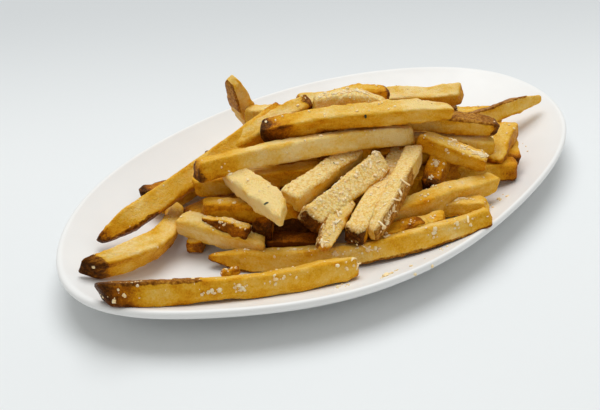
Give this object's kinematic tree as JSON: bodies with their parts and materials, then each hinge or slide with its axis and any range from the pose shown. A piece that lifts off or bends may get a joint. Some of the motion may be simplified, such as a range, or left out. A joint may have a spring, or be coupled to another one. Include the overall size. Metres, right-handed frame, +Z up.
{
  "type": "french fries portion on an oval plate",
  "caption": "Heap of skin-on fresh-cut fries with grated cheese on a shallow oval glazed plate, for a table setting.",
  "frame": {"origin": "on the table, at the middle of the flat foot under the plate", "axes": "+Z up, +X along the plate's length, +Y across it"},
  "size_m": [0.2578, 0.1605, 0.0525],
  "materials": {
    "glaze": "white glaze, glossy",
    "fried_potato": "golden fried potato with browned edges and skin",
    "crisp_potato": "deeper golden fried potato with a skin end"
  },
  "bodies": {
    "root": {"plate": "glaze", "fries": "fried_potato", "front_fry": "crisp_potato"}
  },
  "joints": []
}
